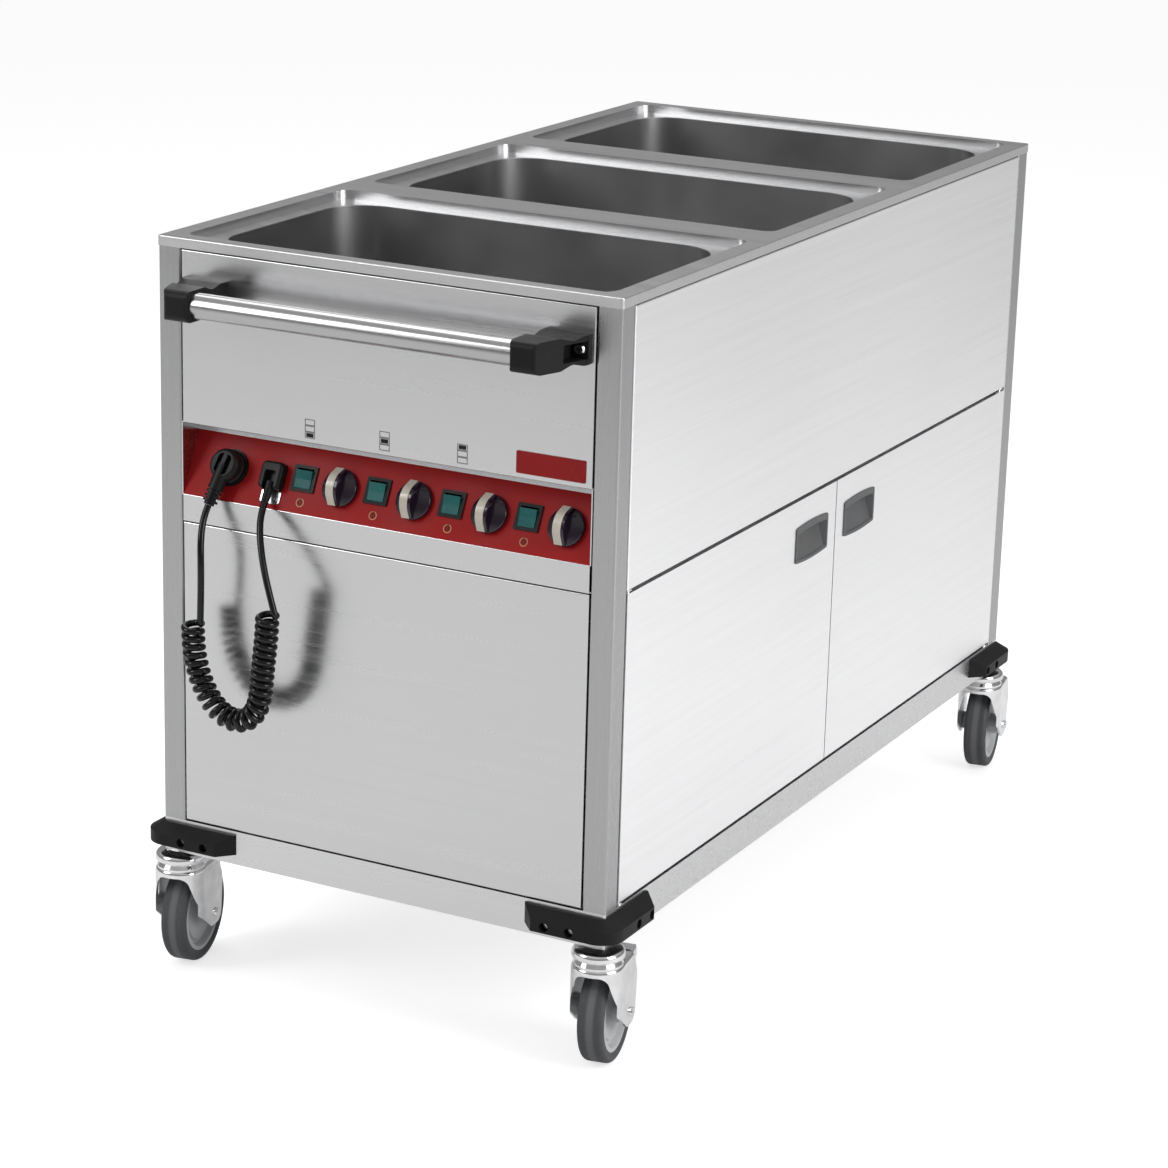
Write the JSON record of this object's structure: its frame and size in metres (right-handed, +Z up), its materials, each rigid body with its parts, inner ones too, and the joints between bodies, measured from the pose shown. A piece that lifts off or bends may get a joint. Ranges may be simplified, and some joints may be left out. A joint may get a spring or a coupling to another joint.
{
  "type": "hostess trolley",
  "caption": "Mobile hot-food trolley: three gastronorm wells over a two-door heated cupboard, slanted control panel, push bar, curly mains lead and swivel castors",
  "frame": {"origin": "on the floor, under the middle of the trolley (box of the trolley without its mains lead)", "axes": "+Z up; the length runs along Y with the push bar and controls at -Y; the cupboard doors face +X"},
  "size_m": [0.6441, 1.3609, 0.905],
  "materials": {
    "brushed_steel": "fine brushed stainless sheet, brushed along each panel",
    "bright_steel": "bright zinc or chrome plate on castors, screws and pins",
    "element_steel": "dull heat-stained sheathed heating element",
    "red_overlay": "satin red printed film on the control panel",
    "black_plastic": "black moulded plastic, satin",
    "lit_green": "translucent lit rocker, blue-green",
    "grey_plastic": "light grey moulded plastic",
    "grey_tyre": "grey non-marking rubber tread",
    "black_lead": "black flexible rubber sheath, slightly glossy"
  },
  "bodies": {
    "trolley": {"base_frame": "brushed_steel", "bumpers": "black_plastic", "castor_stems": "bright_steel", "coiled_lead": "black_lead", "control_housing": "brushed_steel", "control_overlay": "red_overlay", "cord_gland": "black_plastic", "corner_posts": "brushed_steel", "cover_screws": "bright_steel", "cupboard_heater": "element_steel", "cupboard_liner": "brushed_steel", "cupboard_shelf": "brushed_steel", "deck_top": "brushed_steel", "far_side_panel": "brushed_steel", "handle_brackets": "black_plastic", "handle_tube": "brushed_steel", "hinge_pins": "bright_steel", "lead_to_gland": "black_lead", "lead_to_plug": "black_lead", "lower_end_panel": "brushed_steel", "parking_socket": "black_plastic", "plug": "black_plastic", "rear_end_panel": "brushed_steel", "shelf_runners": "brushed_steel", "switch_frames": "black_plastic", "thermostats": "black_plastic", "upper_end_panel": "brushed_steel", "upper_side_panel": "brushed_steel", "well_heaters": "element_steel", "well_tank_front": "brushed_steel", "well_tank_middle": "brushed_steel", "well_tank_rear": "brushed_steel"},
    "door_front": {"door_skin_front": "brushed_steel", "door_pan_front": "brushed_steel", "pull_cup_front": "grey_plastic"},
    "door_rear": {"door_skin_rear": "brushed_steel", "door_pan_rear": "brushed_steel", "pull_cup_rear": "grey_plastic"},
    "knob_1": {"heat_knob_1": "black_plastic"},
    "switch_1": {"rocker_1": "lit_green"},
    "knob_2": {"heat_knob_2": "black_plastic"},
    "switch_2": {"rocker_2": "lit_green"},
    "knob_3": {"heat_knob_3": "black_plastic"},
    "switch_3": {"rocker_3": "lit_green"},
    "knob_4": {"heat_knob_4": "black_plastic"},
    "switch_4": {"rocker_4": "lit_green"},
    "castor_front_left": {"castor_fork_front_left": "bright_steel"},
    "wheel_front_left": {"wheel_hub_front_left": "grey_plastic", "wheel_tyre_front_left": "grey_tyre"},
    "brake_left": {"brake_pedal_left": "bright_steel"},
    "castor_front_right": {"castor_fork_front_right": "bright_steel"},
    "wheel_front_right": {"wheel_hub_front_right": "grey_plastic", "wheel_tyre_front_right": "grey_tyre"},
    "brake_right": {"brake_pedal_right": "bright_steel"},
    "castor_rear_left": {"castor_fork_rear_left": "bright_steel"},
    "wheel_rear_left": {"wheel_hub_rear_left": "grey_plastic", "wheel_tyre_rear_left": "grey_tyre"},
    "castor_rear_right": {"castor_fork_rear_right": "bright_steel"},
    "wheel_rear_right": {"wheel_hub_rear_right": "grey_plastic", "wheel_tyre_rear_right": "grey_tyre"}
  },
  "joints": [
    {"name": "door_hinge_front", "type": "hinge", "parent": "trolley", "child": "door_front", "pos_m": [0.294, -0.559, 0.384], "axis": [0, 0, -1], "range_deg": [0, 120]},
    {"name": "door_hinge_rear", "type": "hinge", "parent": "trolley", "child": "door_rear", "pos_m": [0.294, 0.559, 0.384], "axis": [0, 0, 1], "range_deg": [0, 120]},
    {"name": "knob_turn_1", "type": "hinge", "parent": "trolley", "child": "knob_1", "pos_m": [-0.062, -0.58233, 0.63643], "axis": [0, 0.8975, -0.441], "range_deg": [0, 270]},
    {"name": "switch_tilt_1", "type": "hinge", "parent": "trolley", "child": "switch_1", "pos_m": [-0.112, -0.57711, 0.63798], "axis": [-1, 0, 0], "range_deg": [0, 16]},
    {"name": "knob_turn_2", "type": "hinge", "parent": "trolley", "child": "knob_2", "pos_m": [0.0355, -0.58233, 0.63643], "axis": [0, 0.8975, -0.441], "range_deg": [0, 270]},
    {"name": "switch_tilt_2", "type": "hinge", "parent": "trolley", "child": "switch_2", "pos_m": [-0.0145, -0.57711, 0.63798], "axis": [-1, 0, 0], "range_deg": [0, 16]},
    {"name": "knob_turn_3", "type": "hinge", "parent": "trolley", "child": "knob_3", "pos_m": [0.133, -0.58233, 0.63643], "axis": [0, 0.8975, -0.441], "range_deg": [0, 270]},
    {"name": "switch_tilt_3", "type": "hinge", "parent": "trolley", "child": "switch_3", "pos_m": [0.083, -0.57711, 0.63798], "axis": [-1, 0, 0], "range_deg": [0, 16]},
    {"name": "knob_turn_4", "type": "hinge", "parent": "trolley", "child": "knob_4", "pos_m": [0.2305, -0.58233, 0.63643], "axis": [0, 0.8975, -0.441], "range_deg": [0, 270]},
    {"name": "switch_tilt_4", "type": "hinge", "parent": "trolley", "child": "switch_4", "pos_m": [0.1805, -0.57711, 0.63798], "axis": [-1, 0, 0], "range_deg": [0, 16]},
    {"name": "swivel_front_left", "type": "hinge", "parent": "trolley", "child": "castor_front_left", "pos_m": [-0.285, -0.585, 0.134], "axis": [0, 0, 1], "continuous": true},
    {"name": "roll_front_left", "type": "hinge", "parent": "castor_front_left", "child": "wheel_front_left", "pos_m": [-0.29073, -0.5525, 0.0625], "axis": [-0.9848, -0.1736, 0], "continuous": true},
    {"name": "brake_press_left", "type": "hinge", "parent": "castor_front_left", "child": "brake_left", "pos_m": [-0.29177, -0.54659, 0.119], "axis": [-0.9848, -0.1736, 0], "range_deg": [0, 10]},
    {"name": "swivel_front_right", "type": "hinge", "parent": "trolley", "child": "castor_front_right", "pos_m": [0.285, -0.585, 0.134], "axis": [0, 0, 1], "continuous": true},
    {"name": "roll_front_right", "type": "hinge", "parent": "castor_front_right", "child": "wheel_front_right", "pos_m": [0.27927, -0.5525, 0.0625], "axis": [-0.9848, -0.1736, 0], "continuous": true},
    {"name": "brake_press_right", "type": "hinge", "parent": "castor_front_right", "child": "brake_right", "pos_m": [0.27823, -0.54659, 0.119], "axis": [-0.9848, -0.1736, 0], "range_deg": [0, 10]},
    {"name": "swivel_rear_left", "type": "hinge", "parent": "trolley", "child": "castor_rear_left", "pos_m": [-0.285, 0.585, 0.134], "axis": [0, 0, 1], "continuous": true},
    {"name": "roll_rear_left", "type": "hinge", "parent": "castor_rear_left", "child": "wheel_rear_left", "pos_m": [-0.29073, 0.6175, 0.0625], "axis": [-0.9848, -0.1736, 0], "continuous": true},
    {"name": "swivel_rear_right", "type": "hinge", "parent": "trolley", "child": "castor_rear_right", "pos_m": [0.285, 0.585, 0.134], "axis": [0, 0, 1], "continuous": true},
    {"name": "roll_rear_right", "type": "hinge", "parent": "castor_rear_right", "child": "wheel_rear_right", "pos_m": [0.27927, 0.6175, 0.0625], "axis": [-0.9848, -0.1736, 0], "continuous": true}
  ]
}
